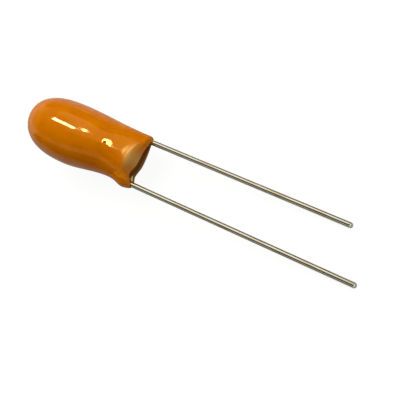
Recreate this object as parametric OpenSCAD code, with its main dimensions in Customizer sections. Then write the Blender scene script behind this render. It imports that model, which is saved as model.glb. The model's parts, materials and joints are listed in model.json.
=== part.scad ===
// Radial tantalum capacitor: a sintered anode with its layers and leads, dipped in one coat of resin.
// Lengths are in millimetres.
// The pieces are drawn with the bead's axis along z, the leads running to -z, one each side in x,
// and z = 0 where the coat ends on the leads. The finished part is then laid down as it comes to
// rest, on its belly and both lead ends, with the leads along +X and the floor at Z = 0.

/* [Leads] */
// Diameter of the tinned wire
lead_d = 0.6; // [0.5:0.02:0.7]
// Distance between the two leads
lead_pitch = 5.08; // [4.8:0.02:5.6]
// Length of the positive lead outside the coat
positive_lead_len = 25.4; // [24:0.2:32]
// Length of the negative lead outside the coat
negative_lead_len = 22.9; // [18:0.1:24]
// Radius of the wire's bends, at its centre
bend_r = 1; // [0.9:0.05:1.1]
// How far the positive lead turns in towards the riser, in degrees
bend_angle = 45; // [35:1:55]
// How far inside its resin sleeve each lead begins to bend
bend_cover = 0.1; // [0.06:0.01:0.14]
// How far the negative lead turns in on its way to the anode, in degrees
step_angle = 20; // [15:1:25]
// Sideways step of the negative lead on its way to the anode
negative_step = 0.2; // [0.2:0.05:0.4]
// Length of the negative lead alongside the anode
negative_tail = 5; // [4:0.1:6]

/* [Anode] */
// Diameter of the sintered tantalum pellet
pellet_d = 3.8; // [3.4:0.05:4.2]
// Length of the pellet
pellet_len = 8; // [7.4:0.1:8.4]
// Rounding of the pellet's edges
pellet_edge = 0.4; // [0.2:0.05:0.6]
// Diameter of the tantalum riser wire
riser_d = 0.4; // [0.3:0.02:0.5]
// How deep the riser is sintered into the pellet
riser_depth = 3; // [2:0.1:4]
// Length of the lap weld between riser and positive lead
weld_len = 1.2; // [0.9:0.1:1.6]
// How far the riser is pressed into the lead at the weld
weld_seat = 0.05; // [0.02:0.01:0.1]
// Stub of riser left below the weld
riser_stub = 0.15; // [0.1:0.05:0.25]

/* [Cathode layers] */
// Thickness of the manganese dioxide outside the pellet
manganese_t = 0.08; // [0.05:0.01:0.12]
// Thickness of the graphite
graphite_t = 0.03; // [0.02:0.01:0.06]
// Thickness of the silver
silver_t = 0.05; // [0.03:0.01:0.08]
// Bare manganese dioxide left beside the riser's face
graphite_margin = 0.5; // [0.45:0.05:0.7]
// Bare graphite left before the silver begins
silver_margin = 0.3; // [0.2:0.05:0.5]

/* [Washer and solder] */
// Diameter of the insulating washer on the riser
washer_d = 1.6; // [1.2:0.1:2]
// Thickness of the washer
washer_t = 0.25; // [0.15:0.05:0.4]
// Space between the washer and the end of the positive lead
washer_gap = 0.3; // [0.2:0.05:0.5]
// Solder between the negative lead and the silver
solder_film = 0.05; // [0.03:0.01:0.08]
// Radius of the solder fillet along the lead
solder_r = 0.55; // [0.48:0.01:0.6]
// How far the solder's axis lies from the lead's, towards the anode
solder_shift = 0.12; // [0.08:0.01:0.15]
// How far the solder stays clear of the silver's edge
solder_margin = 0.3; // [0.2:0.05:0.6]
// Taper at each end of the solder fillet
solder_taper = 0.8; // [0.5:0.1:1.2]
// Solder over the end of the negative lead
solder_cap = 0.2; // [0.1:0.05:0.3]

/* [Resin coat] */
// Resin beside the anode where the bead is widest, on the positive side
coat_positive = 1.42; // [1:0.02:1.6]
// Resin over the negative lead where the bead is widest
coat_negative = 0.91; // [0.6:0.01:1.3]
// Resin in front of and behind the anode
coat_front = 1.24; // [1:0.02:1.5]
// Resin below the anode, where the drip gathers at the tip
coat_tip = 2; // [1.6:0.1:2.4]
// How far the widest place lies beyond the anode's middle
widest_shift = 0.4; // [0:0.05:0.5]
// How far the tip leans towards the negative lead
tip_lean = 0.13; // [0:0.01:0.3]
// Fullness of the domed tip, where 2 is an ellipse
dome_power = 2.5; // [2:0.1:2.6]
// Resin outside the positive lead at its shoulder
shoulder_positive = 0.18; // [0.15:0.01:0.3]
// Resin outside the negative lead at its shoulder
shoulder_negative = 0.29; // [0.15:0.01:0.35]
// Height of the shoulders above the coat's end
shoulder_h = 0.6; // [0.5:0.05:0.8]
// How far the waist is drawn in past the positive lead's outer side
waist_in = 0.03; // [0:0.01:0.12]
// How far the waist lies beyond the start of the weld
waist_over_weld = 0.1; // [0:0.05:0.4]

/* [Lip] */
// Thickness of the web between the leads, across the lip's crest
lip_t = 1.1; // [1:0.05:1.6]
// How far the front and back round over towards the lip
lip_round_front = 1.3; // [1.1:0.05:1.5]
// How far the two sides round over towards the lip
lip_round_side = 0.15; // [0.05:0.01:0.16]
// Height of the rounding
lip_round_h = 1.2; // [1:0.05:1.4]
// Squareness of the section at the lip, where 2 is an ellipse
lip_power = 3; // [2.8:0.1:3.4]
// Depth of the shallow mouth between the leads
mouth_depth = 0.25; // [0.1:0.05:0.35]
// Rise of the lip beside the positive lead
lip_hollow = 0.36; // [0.1:0.02:0.45]
// Distance of that rise from the positive lead
lip_hollow_at = 0.94; // [0.9:0.02:1.2]
// Length of the run of resin down the front of the negative lead
lip_run = 0.31; // [0.2:0.01:0.5]
// Thickness of the resin sleeve that clings to each lead
sleeve_t = 0.17; // [0.14:0.01:0.18]
// How far the sleeve reaches down the positive lead
sleeve_positive = 0.18; // [0.15:0.01:0.4]
// How far the sleeve reaches down the negative lead
sleeve_negative = 0.34; // [0.3:0.01:0.5]

/* [Hidden] */
$fn = 32;

lead_r = lead_d / 2;
positive_x = lead_pitch / 2;
negative_x = -lead_pitch / 2;
riser_r = riser_d / 2;
silver_r = pellet_d / 2 + manganese_t + graphite_t + silver_t;
positive_bend_z = bend_cover - sleeve_positive;
negative_bend_z = bend_cover - sleeve_negative;
// Degrees that each bend reaches into the straight lengths beside it
bend_overlap = 3;
// Share of the wire's radius that bending leaves
bend_draw = 0.98;

// Height over which a wire steps sideways by step, through two bends and the slope between them
function bend_height(step, angle) =
    2 * bend_r * sin(angle) + (step - 2 * bend_r * (1 - cos(angle))) / tan(angle);

// The negative lead steps in to lie on the silver, which sets where the anode sits.
tail_x = negative_x + negative_step;
pellet_x = tail_x + lead_r + solder_film + silver_r;
tail_z = negative_bend_z + bend_height(negative_step, step_angle);

// The positive lead turns in until it lies beside the riser, which sets how long the neck is.
weld_x = pellet_x + riser_r + lead_r - weld_seat;
weld_z = positive_bend_z + bend_height(positive_x - weld_x, bend_angle);
weld_end = weld_z + weld_len;
pellet_z = weld_end + washer_gap + washer_t + manganese_t;
pellet_end = pellet_z + pellet_len;
graphite_z = pellet_z + graphite_margin;
silver_z = graphite_z + silver_margin;
layers_end = pellet_end + manganese_t + graphite_t + silver_t;
tail_end = pellet_z + negative_tail;
riser_z = weld_z - riser_stub;

// The coat's outline, from the lip to the tip.
widest_z = pellet_z + pellet_len / 2 + widest_shift;
tip_z = layers_end + coat_tip;
waist_z = weld_z + waist_over_weld;
shoulder_z = shoulder_h;
widest_positive = pellet_x + silver_r + coat_positive;
widest_negative = -tail_x + lead_r + coat_negative;
widest_front = silver_r + coat_front;
side_positive = positive_x + lead_r + shoulder_positive;
side_negative = -negative_x + lead_r + shoulder_negative;
side_waist = positive_x + lead_r - waist_in;
front_lip = lip_t / 2 + lip_round_front;
// Height over which the lip's rise and run fade out
lip_fade = 1.4;
// Height up to which the sleeve on a lead shows outside the coat
sleeve_h = 0.2;
// Widths of the lip's rise, on its side away from the positive lead and on its side towards it
hollow_inner = 0.9;
hollow_outer = 0.5;
// Width of the run of resin on the negative lead
run_width = 1.05;
// Fullness of the belly between the lip and the widest place, where 0 is an even curve
flank = 0.8;

// How many points go round the coat, and how many rings cover each stretch of it.
ring_points = 48;
dome_rings = 14;
body_rings = 18;
lip_rings = 6;
mouth_rings = 4;

function mix(a, b, t) = a + (b - a) * t;
function smooth(t) = let (u = min(max(t, 0), 1)) u * u * (3 - 2 * u);
function power(v, p) = sign(v) * pow(abs(v), p);

// Half-widths of the coat at height z, towards each lead and to the front
function to_positive(z) = z < waist_z
    ? mix(side_positive, side_waist, smooth((z - shoulder_z) / (waist_z - shoulder_z)))
    : mix(side_waist, widest_positive, smooth((z - waist_z) / (widest_z - waist_z)));
function to_negative(z) =
    mix(side_negative, widest_negative, smooth((z - shoulder_z) / (widest_z - shoulder_z)));
function to_front(z) =
    let (left = 1 - z / widest_z)
    mix(front_lip, widest_front, 1 - left * left * (1 + flank * (1 - left)));
function section_power(z) = mix(lip_power, 2, smooth(z / pellet_z));

// How far the lip stands above or below its plane, at x, from -1 at the back to 1 at the front
function lip_height(x, front) =
    let (from_hollow = x - (positive_x - lip_hollow_at))
    let (hollow_w = from_hollow < 0 ? hollow_inner : hollow_outer)
    let (hollow = lip_hollow * (1 + 0.25 * front) * exp(-pow(from_hollow / hollow_w, 2)))
    let (run = lip_run * (1 + front) / 2 * exp(-pow((x - negative_x) / run_width, 2)))
    hollow - run;

// One ring of the coat: half-widths to each side and to the front, at height z
function ring(z, neg, pos, front, power_n, middle = 0, sink = 0) = [
    for (i = [0:ring_points - 1])
        let (a = 360 * i / ring_points)
        let (across = power(cos(a), 2 / power_n))
        let (up = power(sin(a), 2 / power_n))
        let (x = middle + (pos - neg) / 2 + across * (pos + neg) / 2)
        let (lift = lip_height(x, up) * (1 - smooth(z / lip_fade)))
        [x, up * front, z + lift + sink]
];

function dome_ring(i) =
    let (a = 90 * i / dome_rings)
    let (rise = pow(sin(a), 2 / dome_power))
    let (shrink = pow(cos(a), 2 / dome_power))
    ring(mix(widest_z, tip_z, rise), widest_negative * shrink, widest_positive * shrink,
        widest_front * shrink, 2, -tip_lean * rise * rise);

function body_ring(i) =
    let (z = mix(lip_round_h, widest_z, i / body_rings))
    ring(z, to_negative(z), to_positive(z), to_front(z), section_power(z));

function lip_ring(i) =
    let (a = 90 * i / lip_rings)
    let (side = lip_round_side * pow(1 - cos(a), 2))
    let (z = lip_round_h * (1 - sin(a)))
    ring(z, to_negative(z) - side, to_positive(z) - side,
        to_front(lip_round_h) - (to_front(lip_round_h) - lip_t / 2) * (1 - cos(a)),
        section_power(z));

// The mouth closes on a flat core between the leads, kept a little open so no face is lost.
function mouth_ring(i) =
    let (open = mix(1, 0.15, i / mouth_rings))
    let (side = lip_round_side + lip_t / 2 * (1 - open))
    ring(0, side_negative - side, side_positive - side, lip_t / 2 * open, lip_power,
        0, mouth_depth * (1 - open * open));

coat_points = concat(
    [for (i = [mouth_rings:-1:1]) each mouth_ring(i)],
    [for (i = [lip_rings:-1:1]) each lip_ring(i)],
    [for (i = [0:body_rings - 1]) each body_ring(i)],
    [for (i = [0:dome_rings - 1]) each dome_ring(i)],
    [[(widest_positive - widest_negative) / 2 - tip_lean, 0, tip_z]]
);
ring_count = mouth_rings + lip_rings + body_rings + dome_rings;
tip_point = ring_count * ring_points;
last_ring = tip_point - ring_points;

coat_faces = concat(
    [
        for (r = [0:ring_count - 2], i = [0:ring_points - 1])
            let (j = (i + 1) % ring_points)
            let (low = r * ring_points)
            let (high = low + ring_points)
            each [[low + i, high + i, high + j], [low + i, high + j, low + j]]
    ],
    [for (i = [0:ring_points - 1]) [last_ring + i, tip_point, last_ring + (i + 1) % ring_points]],
    [[0, 1, ring_points - 1]],
    [
        for (i = [1:ring_points / 2 - 2])
            each [[i, i + 1, ring_points - i], [i + 1, ring_points - i - 1, ring_points - i]]
    ],
    [[ring_points / 2 - 1, ring_points / 2, ring_points / 2 + 1]]
);

// The rest pose: the floor touches both lead ends and the belly. tilt is the floor normal's z part,
// and the leads' difference in length adds a little roll to it.
function floor_up(tilt) =
    let (roll = tilt * (positive_lead_len - negative_lead_len) / lead_pitch)
    [roll, sqrt(1 - tilt * tilt - roll * roll), tilt];
function lead_low(up) =
    up * [positive_x, 0, -positive_lead_len] - lead_r * norm([up[0], up[1]]);
function belly_low(up) = min([for (p = coat_points) up * p]);
function rest_tilt(low = 0, high = 0.3, steps = 24) =
    let (half = (low + high) / 2)
    let (up = floor_up(half))
    steps == 0 ? half
    : belly_low(up) < lead_low(up) ? rest_tilt(half, high, steps - 1)
    : rest_tilt(low, half, steps - 1);

floor_z = floor_up(rest_tilt());
floor_x = let (v = [0, 0, -1] - floor_z[2] * -1 * floor_z) v / norm(v);
floor_y = cross(floor_z, floor_x);
reach = [for (p = coat_points) [floor_x * p, floor_y * p]];
lead_tip = [positive_x, 0, -positive_lead_len];
reach_x = floor_x * lead_tip + lead_r * norm([floor_x[0], floor_x[1]]);
middle_x = (min([for (p = reach) p[0]]) + reach_x) / 2;
middle_y = (min([for (p = reach) p[1]]) + max([for (p = reach) p[1]])) / 2;

module at_rest() {
    multmatrix([
        [floor_x[0], floor_x[1], floor_x[2], -middle_x],
        [floor_y[0], floor_y[1], floor_y[2], -middle_y],
        [floor_z[0], floor_z[1], floor_z[2], -lead_low(floor_z)],
        [0, 0, 0, 1]
    ])
        children();
}

// A cylinder with both edges rounded
module rounded_cylinder(r, h, edge) {
    rotate_extrude() {
        translate([0, edge])
            square([r, h - 2 * edge]);
        square([r - edge, h]);
        translate([r - edge, edge])
            circle(edge);
        translate([r - edge, h - edge])
            circle(edge);
    }
}

// The anode's form grown outwards by t
module grown_pellet(t) {
    translate([pellet_x, 0, pellet_z - t])
        rounded_cylinder(pellet_d / 2 + t, pellet_len + 2 * t, pellet_edge + t);
}

// The same form, only from height z to beyond the anode's far end
module grown_pellet_from(t, z) {
    intersection() {
        grown_pellet(t);
        translate([pellet_x - pellet_d, -pellet_d, z])
            cube([2 * pellet_d, 2 * pellet_d, tip_z - z]);
    }
}

module riser_form() {
    translate([pellet_x, 0, riser_z])
        cylinder(r = riser_r, h = pellet_z + riser_depth - riser_z);
}

module washer_form() {
    translate([pellet_x, 0, pellet_z - manganese_t - washer_t])
        cylinder(d = washer_d, h = washer_t);
}

// A straight length of wire along z, from one height to another
module wire(x, z_from, z_to) {
    translate([x, 0, z_from])
        cylinder(r = lead_r, h = z_to - z_from);
}

// A bend of the wire about (x, z), in the plane of the leads. Bending draws the wire a little thinner,
// and each end reaches into the straight length beside it.
module wire_bend(x, z, from, turn) {
    translate([x, 0, z])
        rotate([90, 0, 0])
            rotate([0, 0, from - bend_overlap])
                rotate_extrude(angle = turn + 2 * bend_overlap)
                    translate([bend_r, 0])
                        circle(lead_r * bend_draw);
}

// A lead that steps in from x_out to x_in with two bends, and then runs on to its end.
// side is 1 where the anode lies towards -x and -1 where it lies towards +x.
module bent_wire(x_out, x_in, z_free, z_bend, z_in, z_end, angle, side) {
    rise = bend_r * sin(angle);
    inset = bend_r * (1 - cos(angle));
    slope = (abs(x_out - x_in) - 2 * inset) / sin(angle);
    wire(x_out, z_free, z_bend);
    translate([x_out - side * inset, 0, z_bend + rise])
        rotate([0, -side * angle, 0])
            cylinder(r = lead_r, h = slope);
    wire(x_in, z_in, z_end);
    wire_bend(x_out - side * bend_r, z_bend, side > 0 ? 0 : 180 - angle, angle);
    wire_bend(x_in + side * bend_r, z_in, side > 0 ? 180 : -angle, angle);
}

module positive_wire() {
    bent_wire(positive_x, weld_x, -positive_lead_len, positive_bend_z, weld_z, weld_end,
        bend_angle, 1);
}

module negative_wire() {
    bent_wire(negative_x, tail_x, -negative_lead_len, negative_bend_z, tail_z, tail_end,
        step_angle, -1);
}

// The fillet of solder before the lead and the silver are taken out of it
module solder_form() {
    low = silver_z + solder_margin;
    high = tail_end + solder_cap;
    translate([tail_x + solder_shift, 0, 0])
        rotate_extrude()
            polygon([
                [0, low], [lead_r, low], [solder_r, low + solder_taper],
                [solder_r, high - solder_taper], [lead_r, high], [0, high]
            ]);
}

// The sleeve that the resin's surface tension leaves round a lead
module sleeve(x, down) {
    translate([x, 0, 0])
        rotate_extrude()
            polygon([
                [0, -down], [lead_r + 0.1 * sleeve_t, -down], [lead_r + 0.35 * sleeve_t, -0.7 * down],
                [lead_r + 0.7 * sleeve_t, -0.25 * down], [lead_r + 0.95 * sleeve_t, sleeve_h],
                [lead_r + 0.8 * sleeve_t, shoulder_z], [0, shoulder_z]
            ]);
}

module coat_form() {
    polyhedron(coat_points, coat_faces, convexity = 6);
    sleeve(positive_x, sleeve_positive);
    sleeve(negative_x, sleeve_negative);
}

module resin_coating() {
    color("#C97A0A") at_rest() difference() {
        coat_form();
        grown_pellet(manganese_t);
        grown_pellet_from(manganese_t + graphite_t, graphite_z);
        grown_pellet_from(manganese_t + graphite_t + silver_t, silver_z);
        riser_form();
        washer_form();
        positive_wire();
        negative_wire();
        solder_form();
    }
}

module anode_pellet() {
    color("#4A4B50") at_rest() difference() {
        grown_pellet(0);
        riser_form();
    }
}

module riser_wire() {
    color("#8A8C93") at_rest() riser_form();
}

module manganese_dioxide_layer() {
    color("#26221F") at_rest() difference() {
        grown_pellet(manganese_t);
        grown_pellet(0);
        riser_form();
    }
}

module graphite_layer() {
    color("#3A3A3C") at_rest() difference() {
        grown_pellet_from(manganese_t + graphite_t, graphite_z);
        grown_pellet(manganese_t);
    }
}

module silver_layer() {
    color("#C9CBCC") at_rest() difference() {
        grown_pellet_from(manganese_t + graphite_t + silver_t, silver_z);
        grown_pellet(manganese_t + graphite_t);
    }
}

module insulating_washer() {
    color("#F2F2EE") at_rest() difference() {
        washer_form();
        riser_form();
    }
}

module solder_joint() {
    color("#A9ADB2") at_rest() difference() {
        solder_form();
        grown_pellet(manganese_t + graphite_t + silver_t);
        negative_wire();
    }
}

module positive_lead() {
    color("#BFC2C6") at_rest() difference() {
        positive_wire();
        riser_form();
    }
}

module negative_lead() {
    color("#BFC2C6") at_rest() negative_wire();
}

resin_coating();
anode_pellet();
riser_wire();
manganese_dioxide_layer();
graphite_layer();
silver_layer();
insulating_washer();
solder_joint();
positive_lead();
negative_lead();
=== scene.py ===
"""A dipped radial tantalum capacitor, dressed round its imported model.

The file is laid out as a Blender add-on and is run as a script. Sizes are in metres. The pieces are
drawn as the part's source draws them, with the bead's axis along z, the leads running to -z, z = 0
where the coat ends on the leads, +x at the positive lead and +y at the front. frame_of_leads then
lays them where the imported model's two pin mounts lie.
"""
import json
import math

import bpy
import numpy as np
from mathutils import Matrix, Vector


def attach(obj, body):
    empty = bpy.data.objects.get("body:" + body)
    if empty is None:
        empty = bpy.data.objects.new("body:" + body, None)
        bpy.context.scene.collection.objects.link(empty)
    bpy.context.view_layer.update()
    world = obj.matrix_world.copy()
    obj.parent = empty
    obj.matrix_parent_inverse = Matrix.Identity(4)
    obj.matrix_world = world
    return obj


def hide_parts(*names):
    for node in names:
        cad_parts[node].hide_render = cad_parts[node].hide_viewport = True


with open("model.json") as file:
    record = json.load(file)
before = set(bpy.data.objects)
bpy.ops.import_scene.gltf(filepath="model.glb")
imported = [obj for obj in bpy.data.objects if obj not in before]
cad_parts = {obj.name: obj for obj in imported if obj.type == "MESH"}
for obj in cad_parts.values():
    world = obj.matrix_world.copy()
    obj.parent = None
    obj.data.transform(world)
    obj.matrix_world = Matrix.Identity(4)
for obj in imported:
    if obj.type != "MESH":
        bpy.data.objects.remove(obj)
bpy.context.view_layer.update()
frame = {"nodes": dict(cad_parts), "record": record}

MM = 0.001

bl_info = {
    "name": "Dipped tantalum capacitor",
    "version": (1, 0, 0),
    "blender": (4, 5, 0),
    "location": "View3D > Sidebar > Capacitor",
    "description": "Makes the resin bead, the tinned leads and the studio of a tantalum capacitor",
    "category": "Add Mesh",
}


def linear(hex_colour):
    """An sRGB hex colour as a linear colour with alpha."""
    parts = [int(hex_colour[i:i + 2], 16) / 255 for i in (1, 3, 5)]
    return tuple(c / 12.92 if c <= 0.04045 else ((c + 0.055) / 1.055) ** 2.4 for c in parts) + (1.0,)


def length(name, millimetres, description):
    """A length property, given in millimetres."""
    return bpy.props.FloatProperty(
        name=name, description=description, default=millimetres * MM, unit="LENGTH", precision=5)


def number(name, default, description):
    """A plain number property."""
    return bpy.props.FloatProperty(name=name, description=description, default=default)


def colour(name, default, description):
    """A colour property, given as sRGB hex."""
    return bpy.props.FloatVectorProperty(
        name=name, description=description, default=linear(default), size=4, subtype="COLOR", min=0, max=1)


class LeadSizes(bpy.types.PropertyGroup):
    """Sizes of the two tinned wires."""

    diameter: length("Wire diameter", 0.6, "Diameter of the tinned wire")
    pitch: length("Pitch", 5.08, "Distance between the two leads")
    positive_length: length("Positive lead", 25.4, "Length of the positive lead outside the coat")
    negative_length: length("Negative lead", 22.9, "Length of the negative lead outside the coat")
    bend_radius: length("Bend radius", 1.0, "Radius of the wire's bends at its centre")
    bend_cover: length("Bend cover", 0.1, "How far inside its sleeve each lead begins to bend")
    bend_angle: number("Bend angle", 45, "How far the positive lead turns in towards the riser, in degrees")
    step_angle: number("Step angle", 20, "How far the negative lead turns in, in degrees")
    step: length("Step", 0.2, "Sideways step of the negative lead")
    weld_x: length("Weld place", 0.52, "Distance of the positive lead's inner end from the bead's axis")
    weld_length: length("Weld length", 1.2, "Length of the positive lead beside the riser")
    tail_end: length("Tail end", 9.59843, "Height of the negative lead's inner end")
    cut_slant: number("Cut slant", 24, "Slant of the sheared ends, in degrees")
    cut_burr: length("Cut rounding", 0.09, "How far the shears draw the wire's edge in at the cut")
    cut_run: length("Cut run", 0.2, "Length of wire over which the shears draw the edge in")
    cut_fade: length("Cut fade", 0.7, "Length of wire over which the slant of the cut fades out")
    unevenness: length("Unevenness", 0.012, "Depth of the unevenness that dipping leaves in the tin")


class BeadSizes(bpy.types.PropertyGroup):
    """Sizes of the resin bead."""

    widest_z: length("Widest place", 8.99843, "Height of the bead's widest place")
    tip_z: length("Tip", 14.7584, "Height of the bead's tip")
    widest_positive: length("Positive half-width", 3.55, "Half-width at the widest place, positive side")
    widest_negative: length("Negative half-width", 3.55, "Half-width at the widest place, negative side")
    widest_front: length("Front half-width", 3.3, "Half-thickness at the widest place")
    tip_lean: length("Tip lean", 0.13, "How far the tip leans towards the negative lead")
    dome_power: number("Dome fullness", 2.5, "Fullness of the domed tip, where 2 is an ellipse")
    pellet_z: length("Anode start", 4.59843, "Height where the section has become an ellipse")
    waist_z: length("Waist", 2.86843, "Height of the waist on the positive side")
    side_waist: length("Waist half-width", 2.81, "Half-width at the waist, positive side")
    shoulder_z: length("Shoulder", 0.6, "Height of the shoulders")
    side_positive: length("Positive shoulder", 3.02, "Half-width at the positive shoulder")
    side_negative: length("Negative shoulder", 3.13, "Half-width at the negative shoulder")
    flank: number("Belly fullness", 0.8, "Fullness of the belly between lip and widest place")
    nub: length("Nub", 0.19, "How far the coat bulges over the positive lead beside the lip")
    nub_x: length("Nub place", 2.4, "Place of that nub across the bead")
    nub_z: length("Nub height", 0.95, "Place of the nub along the bead")
    nub_width: length("Nub width", 0.28, "Half-width of the nub")
    nub_length: length("Nub length", 0.75, "Half-length of the nub")
    swell: length("Swell", 0.11, "Height of the swell under the burst bubble")
    swell_x: length("Swell place", -0.6, "Place of the swell across the bead")
    swell_z: length("Swell height", 4.1, "Place of the swell along the bead")
    swell_down: length("Swell, towards the lip", 0.8, "Half-length of the swell towards the lip")
    swell_up: length("Swell, towards the tip", 2, "Half-length of the swell towards the tip")
    swell_width: length("Swell width", 1.2, "Half-width of the swell")
    pinhole_x: length("Pinhole across", -0.39, "Place of the burst bubble's pinhole across the bead")
    pinhole_z: length("Pinhole height", 3.552, "Place of the pinhole along the bead")
    pinhole_r: length("Pinhole radius", 0.08, "Radius of the pinhole")
    pinhole_depth: length("Pinhole depth", 0.25, "Depth of the pinhole")
    pinhole_reach: length("Pinhole reach", 0.9, "How far round the pinhole the mesh is drawn in")
    pinhole_draw: number("Pinhole draw", 0.22, "Share of its distance that a point next to the pinhole keeps")
    lip_t: length("Lip thickness", 1.1, "Thickness of the web between the leads")
    lip_round_front: length("Lip front rounding", 1.3, "How far front and back round over to the lip")
    lead_round_front: length("Lead front rounding", 0.55, "The same beside a lead, which the coat clings to")
    lead_round_h: length("Lead rounding height", 0.4, "Height of the rounding beside a lead")
    web_crest: length("Web crest", 0.3, "Place across the bead where the web has its full rounding")
    web_positive: length("Web, positive side", 2.4, "How far from there the rounding reaches, positive side")
    web_negative: length("Web, negative side", 3.1, "The same on the negative side")
    lip_round_side: length("Lip side rounding", 0.15, "How far the sides round over to the lip")
    lip_round_h: length("Lip rounding height", 1.2, "Height of the lip's rounding")
    lip_fade: length("Lip fade", 1.4, "Height over which the lip's rise and run fade out")
    sleeve_h: length("Sleeve height", 0.35, "Height over which the sleeves round the leads fade out")
    lip_power: number("Lip squareness", 3, "Squareness of the section at the lip")
    mouth_depth: length("Mouth depth", 0.6, "Depth of the shallow mouth between the leads")
    mouth_slit: number("Mouth slit", 0.02, "Share of the mouth's width that is left at its bottom")
    mouth_bowl: number("Mouth fullness", 5, "Fullness of the mouth's bowl, where 1 is a straight funnel")
    # The lip's tan is painted light, standing in for light shining through the thin coat; these set how high
    # it reaches and over what height it fades
    painted_glow_z: length("Tan height", 0.7, "Height up to which the thin coat at the lip is tan")
    painted_glow_fade: length("Tan fade", 1, "Height over which the tan tone fades out above that")
    lip_hollow: length("Lip rise", 0.36, "Rise of the lip beside the positive lead")
    lip_hollow_at: length("Lip rise place", 0.94, "Distance of that rise from the positive lead")
    hollow_inner: length("Rise inner width", 0.9, "Width of the rise, away from the positive lead")
    hollow_outer: length("Rise outer width", 0.5, "Width of the rise, towards the positive lead")
    lip_run: length("Lip run", 0.31, "Run of resin down the front of the negative lead")
    run_width: length("Run width", 1.05, "Width of that run")
    sleeve_t: length("Sleeve thickness", 0.17, "Thickness of the resin sleeve round each lead")
    sleeve_positive: length("Positive sleeve", 0.18, "How far the sleeve reaches down the positive lead")
    sleeve_negative: length("Negative sleeve", 0.34, "How far the sleeve reaches down the negative lead")
    sag: length("Sag", 0.03, "Depth of the slow unevenness that the dip leaves")
    sag_size: length("Sag size", 3.0, "Width of that unevenness")


class Finishes(bpy.types.PropertyGroup):
    """Colours and gloss of the visible materials."""

    resin: colour("Resin", "#D87B00", "Mustard-orange pigment of the epoxy")
    resin_deep: colour("Resin, thick", "#CF6E00", "The same pigment where the coat lies thick")
    # Painted shade: this dark tone stands in for the shade inside the mouth between the leads and at the back
    # of the lip
    mouth_painted_shade: colour("Resin, thin", "#6B3F0C", "The brown tone in the mouth between the leads")
    # Painted light: this tan stands in for light shining through the thin coat at the lip
    lip_painted_glow: colour("Resin, lip", "#CC9650", "The tan tone of the thin coat at the lip")
    gloss: colour("Gloss", "#FFE189", "Warm cast of the resin's gloss")
    tin: colour("Tin", "#D0CFC6", "Bright tin on the leads")
    copper: colour("Copper", "#B07A55", "Copper that shows where the tin is thin")
    resin_ior: number("Resin IOR", 1.38, "Index of refraction of the resin")
    resin_rough: number("Resin roughness", 0.05, "Least roughness of the resin")
    resin_rough_grain: number("Resin grain", 0.1, "Its roughness on the filler's grain")
    resin_dull: number("Lip roughness", 0.35, "What the lip and the mouth add to the resin's roughness")
    tin_rough: number("Tin roughness", 0.03, "Least roughness of the tin")
    tin_rough_lines: number("Tin draw lines", 0.07, "Its roughness on the draw lines")
    copper_share: number("Copper share", 0.45, "Share of copper in the thinnest patches of tin")


class StageSizes(bpy.types.PropertyGroup):
    """The floor, the lamps and the camera."""

    floor_size: length("Floor", 900, "Side of the square floor")
    floor: colour("Floor colour", "#BABAB8", "The pale floor")
    warm: colour("Room light", "#FFF7DF", "Slightly warm tone of the room's light")
    glow: number("Floor glow", 0.8, "Share of white that the floor shows to the camera")
    flag: colour("Flag colour", "#0C0C0C", "The black cards that give the bright wires a dark edge")
    flag_distance: length("Flag distance", 170, "Distance of the black cards from the part")
    flag_height: length("Flag height", 105, "Height of the black cards")
    flag_length: length("Flag length", 600, "Length of the black cards")
    lamp_distance: length("Lamp distance", 400, "Distance of the lamps from the bead")
    key_power: number("Key lamp", 1.5, "Power of the soft key lamp, in watts")
    strip_power: number("Strip lamp", 1.6, "Power of the strip lamp over the bead, in watts")
    spot_power: number("Spot lamp", 0.25, "Power of the small lamp beside it, in watts")
    window_power: number("Window lamp", 2.2, "Power of the lamp over the neck, in watts")
    wall_behind: number("Wall behind", 1.8, "Brightness of the wall behind the leads")
    wall_side: number("Wall behind, side", 0.5, "Its brightness towards the free ends")
    wall_before: number("Wall before", 1.05, "Brightness of the wall before the leads")
    wall_tip: number("Wall beyond the tip", 0.35, "Brightness of the wall beyond the bead's tip")
    wall_ends: number("Wall beyond the ends", 1.1, "Brightness of the wall beyond the leads' free ends")
    ceiling: number("Ceiling", 0.015, "Brightness of the dark ceiling")
    ceiling_ends: number("Ceiling, free ends", 0.12, "Brightness of the ceiling beyond the leads' free ends")
    lens: number("Lens", 44.8, "Focal length of the camera, in millimetres, on a 36 mm wide sensor")


def sizes(group):
    """The values of one of the scene's property groups, as an object with attributes."""
    return getattr(bpy.context.scene, group)


# Nodes lie on a grid in the order in which they are made
NODES_IN_ROW, NODE_WIDE, NODE_HIGH = 10, 220, 340


def node_in(tree, kind, links=(), **settings):
    """Adds a node to a tree. Settings name its properties or inputs, and links join (socket, input)."""
    row, column = divmod(len(tree.nodes), NODES_IN_ROW)
    new = tree.nodes.new(kind)
    new.location = (column * NODE_WIDE, -row * NODE_HIGH)
    for key, value in settings.items():
        if hasattr(new, key):
            setattr(new, key, value)
        else:
            new.inputs[key].default_value = value
    for source, name in links:
        tree.links.new(source, new.inputs[name])
    return new


def set_or_link(tree, target, value):
    """Gives an input its value, which is a socket to link from or a plain value."""
    if hasattr(value, "node"):
        tree.links.new(value, target)
    elif value is not None:
        target.default_value = value


def maths(tree, operation, a, b=None):
    """Adds a Math node to a tree, on sockets or numbers."""
    new = node_in(tree, "ShaderNodeMath", operation=operation)
    set_or_link(tree, new.inputs[0], a)
    set_or_link(tree, new.inputs[1], b)
    return new.outputs[0]


def vectors(tree, operation, a, b=None, scale=None):
    """Adds a Vector Math node to a tree, on sockets."""
    new = node_in(tree, "ShaderNodeVectorMath", operation=operation)
    set_or_link(tree, new.inputs[0], a)
    set_or_link(tree, new.inputs[1], b)
    if scale is not None:
        tree.links.new(scale, new.inputs["Scale"])
    return new.outputs["Value" if operation == "DOT_PRODUCT" else "Vector"]


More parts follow.
